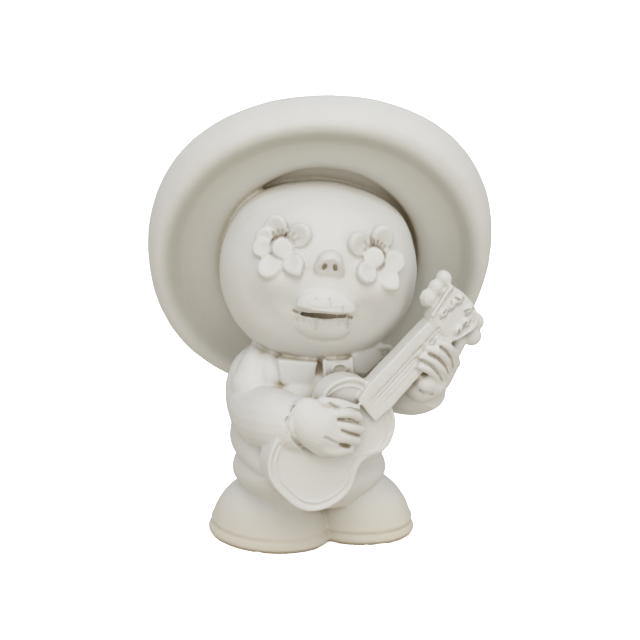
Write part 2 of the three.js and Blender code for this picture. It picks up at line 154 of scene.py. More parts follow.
# %% Helpers for pushing the clay
def pick(piece, rule):
    """In edit mode, selects only the vertices that pass a rule."""
    bpy.ops.mesh.select_mode(type="VERT")
    bpy.ops.mesh.select_all(action="DESELECT")
    shape = bmesh.from_edit_mesh(piece.data)
    for vertex in shape.verts:
        vertex.select = rule(vertex)
    shape.select_flush_mode()


def push(piece, at, reach, by):
    """Drags the clay near a point; the pull fades to nothing at the reach."""
    choose(piece)
    bpy.ops.object.mode_set(mode="EDIT")
    shape = bmesh.from_edit_mesh(piece.data)
    nearest = min(shape.verts, key=lambda vertex: (vertex.co - Vector(at)).length).index
    pick(piece, lambda vertex: vertex.index == nearest)
    bpy.ops.transform.translate(
        value=by, use_proportional_edit=True, proportional_edit_falloff="SMOOTH", proportional_size=reach
    )
    bpy.ops.object.mode_set(mode="OBJECT")


def flatten(piece, axis, limit, share):
    """Squashes or stretches what lies below a limit on one axis."""
    size, middle = [1, 1, 1], [0, 0, 0]
    size[axis], middle[axis] = share, limit
    choose(piece)
    bpy.ops.object.mode_set(mode="EDIT")
    pick(piece, lambda vertex: vertex.co[axis] < limit)
    bpy.ops.transform.resize(value=size, center_override=middle)
    bpy.ops.object.mode_set(mode="OBJECT")


# %% Helpers for drawn shapes
def drawn(name, points, corners=()):
    """A smooth curve through points; the numbered corners stay sharp."""
    piece = begin(name, bpy.ops.curve.primitive_bezier_curve_add)
    piece.data.resolution_u = 10
    spline = piece.data.splines[0]
    spline.bezier_points.add(len(points) - len(spline.bezier_points))
    for i, (knot, point) in enumerate(zip(spline.bezier_points, points)):
        knot.co = point
        knot.handle_left_type = knot.handle_right_type = "VECTOR" if i in corners else "AUTO"
    return piece


def limb(name, path, radii, flat=1, tip=1):
    """A tube along a curve with a radius at each point and a ball at each end."""
    tube = drawn(name, path)
    tube.data.bevel_depth = 1
    tube.data.bevel_resolution = 8
    tube.data.use_fill_caps = True
    for knot, radius in zip(tube.data.splines[0].bezier_points, radii):
        knot.radius = radius
    bpy.ops.object.convert(target="MESH")
    tube = settle(bpy.context.object)
    ends = [egg(name + "_start", path[0], (radii[0],) * 3, 32)]
    if tip:
        ends.append(egg(name + "_tip", path[-1], (radii[-1],) * 3, 32))
    melt([tube, *ends])
    if flat != 1:
        bpy.ops.object.mode_set(mode="EDIT")
        bpy.ops.mesh.select_all(action="SELECT")
        bpy.ops.transform.resize(value=(1, 1, flat), center_override=path[len(path) // 2])
        bpy.ops.object.mode_set(mode="OBJECT")
    return tube


def spun(name, profile, sides, corners=()):
    """Draws half of a section from axis to axis and spins it round Z."""
    drawn(name, [(radius, 0, height) for radius, height in profile], corners)
    bpy.ops.object.convert(target="MESH")
    piece = bpy.context.object
    bpy.ops.object.mode_set(mode="EDIT")
    bpy.ops.mesh.select_all(action="SELECT")
    bpy.ops.mesh.spin(steps=sides, angle=2 * math.pi, center=(0, 0, 0), axis=(0, 0, 1))
    bpy.ops.mesh.select_all(action="SELECT")
    bpy.ops.mesh.remove_doubles(threshold=0.01)
    bpy.ops.mesh.normals_make_consistent(inside=False)
    bpy.ops.object.mode_set(mode="OBJECT")
    return piece


# %% [markdown]
# The trousers are two bells. A bell is turned work, so its section is drawn once, with a
# sharp corner in the groove above the raised hem, and spun. The foot is an oval, turned
# outwards, which is why each bell is squeezed and turned afterwards. A spin leaves a faint
# seam where it starts, so each bell gets half a turn more, which hides the seam behind.

# %% Trouser legs
def leg(side):
    foot, tall, hem = LEG["foot"], LEG["tall"], LEG["hem"]
    dome = LEG["dome_left"] if side < 0 else LEG["dome_right"]
    lip, groove, half_turn = 0.9, 1.7, 180
    profile = [(0, 0), (foot - 0.8, 0), (foot, lip), (foot - 0.1, hem - lip), (foot - 0.7, hem - 0.1)]
    profile += [(dome - groove, hem + 0.3)]
    steps, start = 9, hem + lip
    for i in range(steps + 1):
        height = start + (tall - start) * math.sin(i / steps * math.pi / 2)
        profile.append((dome * math.sqrt(max(0, 1 - (height / tall) ** 2)), height))
    piece = spun("leg_left" if side < 0 else "leg_right", profile, 96, corners=(0, 1, 5))
    squeeze = Matrix.Diagonal((1, LEG_OVAL["narrow"], 1, 1))
    turn = Matrix.Rotation(math.radians(LEG_OVAL["turn"] + half_turn), 4, "Z")
    return settle(piece, Matrix.Translation((side * LEG["apart"], 0, 0)) @ turn @ squeeze)


legs = [leg(-1), leg(1)]
print("legs:", [len(piece.data.polygons) for piece in legs], "faces")

# %% [markdown]
# The trunk is a barrel that is wider than it is deep. Its section shows the rolled sash, a
# notch, and the hem of the short jacket standing out over it. The upper back is rounded
# with one push, because the head and the hat lean back on it. A second push brings the
# belly forward to the edge of the guitar, where the two are one lump in the casting.

# %% Trunk
def trunk():
    half, bottom, sash = TORSO["half"], TORSO["bottom"], TORSO["sash"]
    jacket, top = TORSO["jacket"], TORSO["top"]
    seat = [(0, bottom), (half - 8, bottom + 2), (half - 3, sash - 1.6)]
    roll = [(half - 1.4, sash + 0.6), (half - 0.2, sash + 3.6), (half - 0.6, sash + 6.8)]
    hem = [(half - 1.9, jacket), (half - 0.8, jacket + 1.6), (half + 0.5, jacket + 4.8)]
    chest = [(half + 0.4, 39), (half - 0.8, 45), (half - 3, 52), (half - 6.5, 59), (half - 11.5, 66)]
    shoulders = [(half - 18, top - 2.5), (0, top)]
    piece = spun("trunk", seat + roll + hem + chest + shoulders, 96, corners=(0, 1, 6))
    deepens_from, dip, depth = 45, 0.045, 0.75
    for vertex in piece.data.vertices:
        rise = max(0, vertex.co.z - deepens_from) / (top - deepens_from)
        vertex.co.y *= depth + 0.1 * rise
        vertex.co.z -= dip * vertex.co.x * (1 - rise)
    upper_back, belly = (6, 18, 62), (-19, -14, 34)
    push(piece, upper_back, 20, (0, 5, 0))
    push(piece, belly, 18, (-1.5, -11, 0))
    return settle(piece, Matrix.Translation((*TORSO["middle"], 0)))


body = trunk()
print("trunk:", body.dimensions)

# %% [markdown]
# The sleeves are tubes that swell and thin. They could be extruded ring by ring, but a
# curve with a bevel, and a radius at each of its points, stays smooth round the elbow. The
# points run from the shoulder over the elbow to the wrist. A sleeve ends flat inside the
# hand, and the needle draws the edge of its cuff later.

# %% Sleeves
def sleeves():
    strumming = [(-9, 5, 64), (-18, 1.4, 58.6), (-20.2, -8, 51), (-17, -24, 50.8), (-9.4, -31.4, 51.8)]
    limb("strumming_sleeve", strumming, (9, 11, 11, 10.8, 9.2), tip=0)
    fretting = [(9, 5, 64), (20.5, 2, 58.6), (28, -5, 55), (34, -12.2, 54.8), (38.6, -18, 57.6)]
    limb("fretting_sleeve", fretting, (9, 10.6, 10.6, 10, 8.6), tip=0)


sleeves()
print("sleeves are in, pieces so far:", len(clay))

# %% [markdown]
# The guitar is modelled lying flat, with its soundboard on Z = 0 and its neck along X, and
# only set at its slant when it is done. The body's outline is a rounded box of a curve
# with a pinched waist, which one formula gives. Extrude makes the box, inset and a second
# extrude sink the soundboard, and a bevel rounds all the rims.

# %% Guitar body
def body_outline(angle):
    """The outline's point at an angle round the body."""
    fullness = 0.72
    along = math.copysign(abs(math.cos(angle)) ** fullness, math.cos(angle))
    side = math.copysign(abs(math.sin(angle)) ** fullness, math.sin(angle))
    x = BODY["middle"] + BODY["length"] / 2 * along
    pinch = 1 - WAIST["share"] * math.exp(-(((x - WAIST["at"]) / WAIST["wide"]) ** 2))
    return x, BODY["across"] + BODY["half"] * pinch * side


def guitar_body():
    sides, circle = 120, bpy.ops.mesh.primitive_circle_add
    piece = begin("guitar_body", circle, vertices=sides, radius=1, fill_type="NGON")
    for i, vertex in enumerate(piece.data.vertices):
        x, y = body_outline(2 * math.pi * i / sides)
        vertex.co = (x, y, -BODY["deep"])
    bpy.ops.object.mode_set(mode="EDIT")
    bpy.ops.mesh.select_all(action="SELECT")
    rise = {"value": (0, 0, BODY["deep"] + BODY_RIM["high"])}
    bpy.ops.mesh.extrude_region_move(TRANSFORM_OT_translate=rise)
    bpy.ops.mesh.inset(thickness=BODY_RIM["wide"], depth=0)
    bpy.ops.mesh.extrude_region_move(TRANSFORM_OT_translate={"value": (0, 0, -BODY_RIM["high"])})
    bpy.ops.mesh.select_all(action="SELECT")
    bpy.ops.mesh.normals_make_consistent(inside=False)
    bpy.ops.mesh.select_all(action="DESELECT")
    bpy.ops.mesh.select_mode(type="EDGE")
    bpy.ops.mesh.edges_select_sharp(sharpness=math.radians(60))
    bpy.ops.mesh.bevel(offset=BODY_RIM["round"], segments=3)
    bpy.ops.object.mode_set(mode="OBJECT")
    return settle(piece, guitar_place)


soundbox = guitar_body()
print("guitar body:", len(soundbox.data.polygons), "faces")

# %% [markdown]
# The neck and the headstock are boards with softened edges. A board is an outline that is
# extruded and bevelled. The neck keeps a plain raised edge on both sides of the strings,
# the headstock has a bead round it, and the posts and the tuning knobs are lumps of clay
# pressed on it. Two knobs were left with flat facets.

# %% Neck
def board(name, outline, low, high, round_edge):
    """An outline in X and Y, extruded from one height to another, its edges rounded."""
    piece = begin(name, bpy.ops.mesh.primitive_circle_add, vertices=len(outline), fill_type="NGON")
    for vertex, (x, y) in zip(piece.data.vertices, outline):
        vertex.co = (x, y, low)
    bpy.ops.object.mode_set(mode="EDIT")
    bpy.ops.mesh.select_all(action="SELECT")
    bpy.ops.mesh.extrude_region_move(TRANSFORM_OT_translate={"value": (0, 0, high - low)})
    bpy.ops.mesh.select_all(action="SELECT")
    bpy.ops.mesh.normals_make_consistent(inside=False)
    if round_edge:
        bpy.ops.mesh.bevel(offset=round_edge, segments=3)
    bpy.ops.object.mode_set(mode="OBJECT")
    return piece


def neck():
    left, right, top = NECK["left"], NECK["right"], NECK["top"]
    foot, end = NECK["foot"], HEADSTOCK["start"] + 2
    right_edge = [(foot, right + 0.4), (5.5, right - 0.5), (end, right)]
    left_edge = [(end, left - 0.6), (5, left), (-1.5, left - 1.2), (foot + 0.2, 0)]
    settle(board("neck", right_edge + left_edge, top - NECK["deep"], top, 0.7), guitar_place)


neck()
print("neck is in, pieces so far:", len(clay))

# %% Headstock
POSTS = ((39.7, 5.9), (43.5, 5.5), (46.6, 4.9), (46.9, -0.6), (43.2, -3.1), (39.6, -3))
ROUND, FACETED = 24, 8
# each knob: its middle, its half sizes and its number of sides
KNOBS = (
    ((48.4, 12.9, -0.6), (2.9, 3.2, 2.7), ROUND),
    ((44.4, 12.7, -0.8), (3.3, 3.5, 2.8), FACETED),
    ((40.2, 11.8, -1), (3.8, 4, 3), FACETED),
    ((46.8, -8, -1.2), (3.2, 3.6, 2.8), ROUND),
    ((42.6, -11.2, -1.4), (3.6, 3.8, 2.9), ROUND),
)


def headstock():
    start, end = HEADSTOCK["start"], HEADSTOCK["end"]
    low, top = NECK["top"] - NECK["deep"] + 1, NECK["top"] + 0.4
    right_edge = [(start - 1, -4.8), (start + 1, -5.8), (start + 5, -7.2), (start + 9, -7.6)]
    far_edge = [(end - 3, -6.8), (end - 0.8, -4), (end, -0.6), (end, 2.4), (end - 0.4, 6.6)]
    far_edge += [(end - 1.4, 10.8), (end - 2.4, 11.2)]
    left_edge = [(start + 8.5, 10.4), (start + 3.6, 9.4), (start + 0.5, 8.9), (start - 1, 7.8)]
    settle(board("headstock", right_edge + far_edge + left_edge, low, top, 0.7), guitar_place)
    left_bead = [(start + 1, 8.3), (start + 5, 9), (end - 6, 9.9), (end - 2.2, 10.3)]
    right_bead = [(start + 1.6, -4.8), (start + 5, -6), (end - 5, -6.6), (end - 1.8, -4.2)]
    for side in (left_bead, right_bead):
        settle(limb("headstock_rim", [(x, y, top) for x, y in side], (0.9,) * 4), guitar_place)
    for x, y in POSTS:
        settle(egg("post", (x, y, top), (1.9, 1.6, 1.3), 10), guitar_place)
    for at, half, sides in KNOBS:
        settle(egg("knob", at, half, sides), guitar_place)


headstock()
print("guitar done, pieces so far:", len(clay))

# %% [markdown]
# A hand is a palm of two or three lumps with the digits laid side by side. The digits are
# short tubes that thin towards the tip. Thin gaps between them would close again when the
# skin is made, so they touch: the hand is a mitten at first, and the needle cuts the dark
# slots between the fingers later.

# %% Hands
def hand(name, palms, digits):
    """Palms are a path, its radii and a flatness; digits are a radius and a path."""
    for path, radii, flat in palms:
        settle(limb(name + "_palm", path, radii, flat=flat), guitar_place)
    for radius, path in digits:
        radii = [radius * (1 - 0.06 * i) for i in range(len(path))]
        settle(limb(name + "_digit", path, radii), guitar_place)


strumming_back = ((-16.8, 16.4, -0.6), (-17.4, 13.4, 2), (-16.8, 10.6, 3.2), (-16, 7, 3.2))
strumming_palms = (
    (((-20, 13, 1.6), (-19.4, 6, 2.4), (-17, 0, 2.4)), (5, 5, 3.4), 0.7),
    (strumming_back, (6.6, 7.2, 7.4, 6.8), 0.7),
)
strumming_digits = (
    (2, ((-10, 17, 2.8), (-6.3, 11.4, 3.2), (-3.7, 5.6, 2.6))),
    (1.9, ((-11.5, 12.5, 4.4), (-7.2, 8.4, 5), (-5.2, 2.9, 3.2))),
    (2, ((-13.2, 10, 5), (-9.8, 4.4, 5.6), (-7.7, -0.8, 3.4))),
    (2.2, ((-16.4, 10.7, 4.8), (-13.9, 4, 5.6), (-11.2, -2.3, 3.4))),
    (2.6, ((-21, 9, 4), (-18.7, 2.2, 4.4), (-15, -2.6, 2.8))),
)
fretting_palms = (
    (((19, -11.6, -4.6), (24, -13.4, -5), (30, -13, -5)), (6.6, 6.2, 5), 1),
    (((19.6, -9.6, -0.8), (21.6, -13.6, -2.6)), (4.2, 4.8), 1),
    (((33, -11, -3.6), (37.6, -8.8, -2.4)), (3.6, 3.4), 1),
)
fretting_digits = (
    (2, ((32.2, -14.6, -2.6), (33, -8.1, 1.6), (32.8, -3.2, 3.2), (31.7, -0.4, 3))),
    (2.1, ((29.8, -15, -2.4), (30, -8.6, 1.8), (29.2, -2, 3.6), (27.7, 1, 3.2))),
    (2.1, ((26.6, -14.8, -1.6), (26.4, -8.8, 2.2), (25.6, -2.6, 3.6), (24.4, 0.6, 3.2))),
    (2, ((23.4, -14.9, -1.2), (23.5, -9.3, 2), (22.9, -4.7, 3.2), (21.7, -1.6, 2.9))),
)
hand("strumming", strumming_palms, strumming_digits)
hand("fretting", fretting_palms, fretting_digits)
print("hands done, pieces so far:", len(clay))

# %% [markdown]
# The collar hides in the shadow under the chin: two flat wings, a tied knot with a ring and
# two bars on it, and a folded tab. Only their outlines show there, so the wings are boards
# again, stood up to face the viewer, and the narrow folds are short tubes. The lapel that
# runs over the shoulder is a fat, rounded limb, and three eggs fill the chest, so that the
# collar lies on clay.

# %% Collar
def flat_fold(name, outline, back, front, lean, at):
    """A board stood up to face the viewer, and turned a little to one side."""
    settle(board(name, outline, back, front, 1.2), turned_place(at, lean, 90))


def collar():
    left = ((-6, -3.6), (-4.6, -5), (6.8, -5.2), (6.6, 0.6), (7.6, 4), (-6.8, 5))
    right = ((-6.6, -2.8), (-0.6, -4.8), (7.2, 0.4), (5.8, 5.6), (-6.8, 5))
    knot = ((-5, -3.4), (5, -3.8), (5, 3), (-4.8, 3.4))
    flat_fold("left_wing", left, -5, 0.7, -12, (-9, -17.2, 65))
    flat_fold("right_wing", right, -6, 0.7, 20, (15.9, -16.5, 66.4))
    flat_fold("knot", knot, -8, 0.6, 0, (4.3, -20.4, 66.4))
    torus = bpy.ops.mesh.primitive_torus_add
    ring = begin("ring", torus, major_radius=2.4, minor_radius=0.65, major_segments=32, minor_segments=12)
    settle(ring, turned_place((4.8, -21.2, 66.4), 0, 90) @ Matrix.Diagonal((1, 0.8, 1, 1)))
    for across in (-4.4, 4.8):
        limb("knot_bar", [(4.3 + across, -20, 69.4), (4.3 + across, -20.8, 63.8)], (1, 1))


def shoulder_and_chest():
    limb("lapel", [(-18.5, 0, 69.6), (-20.6, -5, 65), (-22.4, -7, 58.5)], (3.2, 6, 7.6))
    egg("shoulder_front", (-16, -6.6, 61.6), (6.5, 8.5, 9))
    egg("chest", (-6, -15, 55), (12, 8, 6.6))
    egg("shirt_front", (4, -16, 60), (9, 7, 6))


def folded_tab():
    limb("upper_tab", [(20.4, -15, 71.6), (25, -13.4, 69.2), (23.4, -14, 66.6)], (1.5, 1.3, 1.1))
    limb("lower_tab", [(18.6, -15.4, 73), (22.2, -13.6, 75.6)], (1.1, 1))


collar()
shoulder_and_chest()
folded_tab()
print("collar done, pieces so far:", len(clay))

# %% [markdown]
# The head is a ball whose lower half is stretched a little into a jaw. Soft pushes bring
# out the temples, the cheekbones and the muzzle, and sink the cheeks beside the mouth and
# the places where the flowers lie. The mouth is a dome of upper teeth, cut flat below,
# over a lower row that follows the chin. The slit between them is as deep as it is dark,
# so it isn't pressed in but cut by a boolean with two thin, curved blades.

# %% Helpers for modifiers
def apply(piece, kind, **settings):
    """Adds a modifier, sets it and applies it."""
    choose(piece)
    bpy.ops.object.modifier_add(type=kind)
    modifier = piece.modifiers[-1]
    for name, value in settings.items():
        setattr(modifier, name, value)
    bpy.ops.object.modifier_apply(modifier=modifier.name)


def cut(piece, tool, how="DIFFERENCE"):
    """A boolean with another lump, which is used up."""
    apply(piece, "BOOLEAN", operation=how, object=tool, solver="EXACT")
    clay.remove(tool)
    bpy.data.objects.remove(tool)


# %% Skull and mouth
def skull():
    piece = egg("skull", (0, 0, 0), HEAD["half"], 128)
    flatten(piece, 2, 0, HEAD["jaw"])
    for side in (-1, 1):
        temple, cheekbone, jaw_corner = (side * 23, -6, 21.5), (side * 17, -27, -6), (side * 18, -23, -18)
        beside_mouth = (side * 13.5 + 0.6, -28, -13)
        under_flower = (side * FLOWER["across"], -30, FLOWER["high"])
        push(piece, temple, 20, (side * 1.2, 0, 1.2))
        push(piece, cheekbone, 12, (side * 0.7, -1.4, 0))
        push(piece, jaw_corner, 12, (side * -0.6, 1.2, 0))
        push(piece, beside_mouth, 7, (0, 1, 0))
        push(piece, under_flower, 12, (0, 1.2, 0))
    muzzle = (0.8, -29, -14)
    push(piece, muzzle, 14, (0, -1.6, 0))
    return piece


def slit():
    """Two thin curved blades: one is thick in the middle, the other cuts deeper to the corners."""
    upper = [(-9.3, -15.5), (-4.8, -16.1), (-0.5, -15.8), (4.8, -15.7), (8.2, -15.2), (10.5, -15.9)]
    lower = [(10.3, -16.3), (8.2, -15.6), (6.2, -16.2), (3.4, -16.8), (0.6, -17.2), (-2.9, -17.1)]
    lower += [(-6.1, -16.5), (-9.1, -15.8)]
    thin, front = 0.85, 45
    under = [(x, z - thin) for x, z in reversed(upper)]
    blade = board("slit", upper + lower, 27.4, front, 0)
    edge = board("slit_edge", upper + under, 25.4, front, 0)
    for piece in (blade, edge):
        settle(piece, Matrix.Rotation(math.radians(90), 4, "X"))
    return blade, edge


def teeth():
    """A dome of upper teeth, cut flat below, over a lower row that follows the chin."""
    upper = egg("upper_teeth", (0, 0, 0), (10.2, 4.2, 6.8))
    flatten(upper, 2, 0, 0.08)
    settle(upper, Matrix.Translation((0.9, -30.2, -14)) @ Matrix.Rotation(math.radians(18), 4, "X"))
    lower = egg("lower_teeth", (0, 0, 0), (9.4, 3, 5.6))
    settle(lower, Matrix.Translation((1, -24.2, -20)) @ Matrix.Rotation(math.radians(42), 4, "X"))
    return upper, lower


def skull_with_mouth():
    whole = skull()
    for row in teeth():
        cut(whole, row, "UNION")
    for blade in slit():
        cut(whole, blade)
    return settle(whole, head_place)


head = skull_with_mouth()
print("skull and mouth:", len(head.data.polygons), "faces")

# %% [markdown]
# The nose is a snub egg, wider below. A push couldn't give it a crisp edge underneath, so a
# block slices it aslant, and the slice faces down into the shadow. Two small eggs that lean
# together at the top are cut out of the slice: open nostrils and bare teeth are all that
# says skeleton on this round face.

# %% Nose
def nose():
    middle, widening, slant, spread = 0.5, 0.09, -48, 1.75
    piece = egg("nose", (middle, -33, 0.4), (4.6, 5.4, 4.9))
    for vertex in piece.data.vertices:
        vertex.co.x += (vertex.co.x - middle) * widening * max(0, 1 - vertex.co.z)
    slope = Matrix.Translation((middle, -38, 1.8)) @ Matrix.Rotation(math.radians(slant), 4, "X")
    block = begin("nose_slice", bpy.ops.mesh.primitive_cube_add, size=20)
    cut(piece, settle(block, slope @ Matrix.Translation((0, 0, -10))))
    for side in (-1, 1):
        nostril = egg("nostril", (0, 0, 0), (0.55, 2.6, 1.4), 24)
        lean = Matrix.Rotation(math.radians(side * -20), 4, "Y")
        cut(piece, settle(nostril, Matrix.Translation((0.4 + side * spread, -35.9, -0.7)) @ lean))
    return settle(piece, head_place)


nose()
print("nose done, pieces so far:", len(clay))

# %% [markdown]
# Each eye is a flower of thick scoops round a flat button. A petal is a pebble with a
# flattened, slightly hollow front, lifted at its outer end, so that its rim stands up and
# throws a shadow. Two of them are drawn out to a point. Each gets its own angle, distance
# and size, because no two petals in the casting are alike.

# %% Flowers
def face_depth(x, z):
    """How far forward the plain head lies at a place on the face."""
    wide, deep, tall = HEAD["half"]
    return -deep * math.sqrt(1 - (x / wide) ** 2 - (z / tall) ** 2)


def petal(x, z, angle, size, lift, point):
    long, thick, wide = PETAL["long"] * size, PETAL["thick"], PETAL["wide"] * size
    piece = egg("petal", (0, 0, 0), (long, thick, wide), 40)
    flatten(piece, 1, -0.5 * thick, 0.2)
    push(piece, (-0.2 * long, -0.6 * thick, 0), 0.9 * long, (0, 0.7, 0))
    if point:
        push(piece, (long, 0, 0), 0.7 * long, (point, 0, 0))
    lean = math.asin(x / HEAD["half"][0])
    turn = Matrix.Rotation(lean, 4, "Z") @ Matrix.Rotation(math.radians(-angle), 4, "Y")
    turn = turn @ Matrix.Rotation(math.radians(-lift), 4, "Z")
    settle(piece, head_place @ Matrix.Translation((x, face_depth(x, z) - FLOWER["proud"], z)) @ turn)


def flower(side, petals):
    middle_x, middle_z = side * FLOWER["across"], FLOWER["high"]
    for angle, far, size, lift, point in petals:
        x = middle_x + far * math.cos(math.radians(angle))
        z = middle_z + far * math.sin(math.radians(angle))
        petal(x, z, angle, size, lift, point)
    depth = face_depth(middle_x, middle_z)
    button = egg("disc", (0, 0, 0), (FLOWER["disc"], 2.2, FLOWER["disc"]))
    flatten(button, 1, -1, 0.35)
    settle(button, head_place @ Matrix.Translation((middle_x, depth, middle_z)))


# each petal: its angle and distance from the disc, its size, how far it lifts, its point
left_petals = (
    (109, 7.3, 1, 18, 0),
    (42, 7, 1.02, 22, 0),
    (151, 6.5, 0.8, 20, 0),
    (184, 6.4, 0.8, 22, 0),
    (243, 7.4, 1.02, 24, 0),
    (308, 6.4, 0.92, 24, 1.2),
)
right_petals = (
    (72, 7.4, 1.04, 18, 0),
    (145, 6.8, 1.02, 20, 0),
    (357, 7.1, 0.98, 22, 0),
    (312, 8.4, 1, 24, 0.8),
    (248, 5.6, 0.96, 24, 0),
)
flower(-1, left_petals)
flower(1, right_petals)
print("flowers done, pieces so far:", len(clay))

# %% [markdown]
# The hat is turned work too. Its section starts inside the opening, rolls over the lip,
# runs almost flat to a crease, swells into the thick roll of the edge and comes back over
# the crown. The brim isn't a true circle: it is a little wider than high and stretched
# towards two of its corners, and the opening is narrowed from side to side, because it
# closes on the temples.

# %% Hat
def hat_profile():
    opening, brim, thick = HAT["opening"], HAT["brim"], HAT["thick"]
    lip = [(0, 6.5), (opening - 6, 6.5), (opening - 1.6, 5), (opening - 0.8, 1.6), (opening + 1.4, -0.3)]
    dish = [(opening + 5, -0.8), (opening + 8.6, -0.5), (opening + 10.8, -0.4), (opening + 12.6, -1.2)]
    roll = [(opening + 14.6, -2.1), (opening + 16.6, -2.3), (opening + 19, -1.5), (brim - 1.9, 0.9)]
    edge = [(brim - 0.6, 4.4), (brim - 0.05, 8), (brim, 2 * thick), (brim - 1.2, 2 * thick + 2.2)]
    edge += [(brim - 4, 2 * thick + 2.6)]
    behind = [(opening + 13, thick + 3.6), (opening + 7, thick + 2), (opening + 3, thick + 3.6)]
    crown = [(opening + 0.6, 14), (opening - 4, 22), (opening - 12, 30), (opening - 23, 33.2), (0, 34)]
    return lip + dish + roll + edge + behind + crown


def hat():
    opening, brim, front = HAT["opening"], HAT["brim"], 9
    piece = spun("hat", hat_profile(), 144, corners=(0,))
    wave, widen, squeeze, squeeze_ends, more_on_the_left = 0.014, 0.012, 0.09, 9, 1.35
    for vertex in piece.data.vertices:
        radius = math.hypot(vertex.co.x, vertex.co.y)
        reach = max(0, radius - opening) / (brim - opening)
        near = min(1, max(0, 1 - (radius - opening) / squeeze_ends)) if vertex.co.z < front else 0
        angle = math.atan2(vertex.co.y, vertex.co.x)
        stretch = 1 - reach * wave * (math.sin(2 * angle) + math.cos(4 * angle))
        tight = squeeze * (1 if vertex.co.x > 0 else more_on_the_left)
        vertex.co.x *= stretch * (1 + widen * reach) * (1 - tight * near)
        vertex.co.y *= stretch
    return settle(piece, hat_place)


wide_hat = hat()
print("hat:", wide_hat.dimensions)

# %% [markdown]
# All the lumps overlap like balls of clay pressed together. Boolean unions would leave a
# hard line wherever two of them meet. A voxel remesh melts them into one closed skin, as
# the slip in the mould does, and a light smoothing takes the sharpness off every crease.
# What is left inside by chance is dropped, so the skin is one shell.

# %% One skin
def one_skin():
    voxel = 0.38
    whole = melt(list(clay))
    whole.name = "figurine"
    apply(whole, "REMESH", mode="VOXEL", voxel_size=voxel, adaptivity=0)
    apply(whole, "SMOOTH", factor=0.5, iterations=3)
    choose(whole)
    bpy.ops.object.mode_set(mode="EDIT")
    bpy.ops.mesh.select_all(action="SELECT")
    bpy.ops.mesh.separate(type="LOOSE")
    bpy.ops.object.mode_set(mode="OBJECT")
    shells = sorted(bpy.context.selected_objects, key=lambda shell: len(shell.data.vertices))
    for shell in shells[:-1]:
        bpy.data.objects.remove(shell)
    return shells[-1]


figurine = one_skin()
figurine.name = "figurine"
print("one skin:", len(figurine.data.vertices), "vertices")

# %% [markdown]
# Teeth, strings, cuffs and the gaps between petals and fingers were cut with a needle. Each
# cut is a stroke on the face or on the guitar, and the skin under it is pressed in along
# the tool. A stroke with a depth below zero raises a bead instead. Moving the vertices in
# one go with numpy is far faster here than one operator a stroke.

# %% The needle
def press(piece, place, toward, reach, strokes):
    """Presses strokes into the skin that faces one way and lies between two planes.

    A stroke is its path, half its width and its depth.
    """
    mesh = piece.data
    count = len(mesh.vertices)
    points = np.empty(count * 3)
    mesh.vertices.foreach_get("co", points)
    points = points.reshape(-1, 3)
    normals = np.empty(count * 3)
    mesh.vertices.foreach_get("normal", normals)
    turn = np.array(place.to_3x3())
    local = (points - np.array(place.translation)) @ turn
    toward = np.array(toward)
    height = local @ toward
    seen = (normals.reshape(-1, 3) @ turn @ toward > 0.1) & (height > reach[0]) & (height < reach[1])
    flat = local[:, toward == 0]
    sunk = np.zeros(count)
    for path, width, depth in strokes:
        for start, end in zip(path[:-1], path[1:]):
            start, along = np.array(start), np.subtract(end, start)
            share = np.clip((flat - start) @ along / (along @ along), 0, 1)
            far = np.linalg.norm(flat - start - share[:, None] * along, axis=1) / width
            fade = np.clip(1 - far, 0, 1)
            dent = depth * fade * fade * (3 - 2 * fade)
            sunk = np.where(np.abs(dent) > np.abs(sunk), dent, sunk)
    points -= np.outer(sunk * seen, turn @ toward)
    mesh.vertices.foreach_set("co", points.ravel())
    mesh.update()
    print("pressed", int((sunk * seen != 0).sum()), "vertices")


# %% Strokes on the face
FINE = 0.5


def ring_round(x, z, radius, start, end):
    """A round stroke between two angles."""
    steps = 24
    angles = [math.radians(start + (end - start) * i / steps) for i in range(steps + 1)]
    return [(x + radius * math.cos(a), z + radius * math.sin(a)) for a in angles]


def mouth_marks():
    corners = [
        ([(-9.2, -15.6), (-6, -16.3), (-3, -16.6)], FINE, 0.8),
        ([(6, -15.7), (8.2, -15.2), (10.2, -15.9)], FINE, 0.8),
    ]
    # each gap between teeth: where it is, its upper end, its length and its depth
    lower_left = ((-7.9, -18.4, 0.7, 0.5), (-5.6, -18.2, 0.8, 0.5))
    lower_middle = ((-3.3, -18.6, 1.8, 0.5), (-1.5, -18, 2.9, 0.7))
    lower_right = ((5.8, -17.2, 1.9, 0.6), (7.3, -17.2, 1.7, 0.5), (8.8, -16.8, 2.7, 0.7))
    upper = ((-3, -11.1, 0.4, 0.5), (1.5, -10.9, 2, 0.6), (6.1, -13, 1.6, 0.6), (-6.2, -12.2, 1, 0.3))
    gaps = []
    for x, high, length, depth in lower_left + lower_middle + lower_right + upper:
        gaps.append(([(x, high), (x + 0.1 * length, high - length)], FINE, depth))
    under_lip = ([(-2, -24.4), (3, -24.8), (8, -24)], 1.6, 0.35)
    teeth_line = ([(-4.6, -14.4), (0, -14.1), (5, -13.6)], FINE, 0.25)
    return corners + gaps + [under_lip, teeth_line]


def flower_marks():
    """A ring round each button, deeper above, and short notches between the petals."""
    marks = []
    disc = FLOWER["disc"]
    for side, notches in ((-1, (58, 74, 94, 108, 124, 36)), (1, (50, 64, 80, 96, 128))):
        x, z = side * FLOWER["across"], FLOWER["high"]
        marks.append((ring_round(x, z, disc + 0.1, 30, 150), 0.5, 0.9))
        marks.append((ring_round(x, z, disc + 0.1, 150, 390), 0.4, 0.3))
        for angle in notches:
            across, up = math.cos(math.radians(angle)), math.sin(math.radians(angle))
            notch = [(x + far * across, z + far * up) for far in (disc + 0.3, disc + 2.1)]
            marks.append((notch, 0.45, 0.7))
    return marks


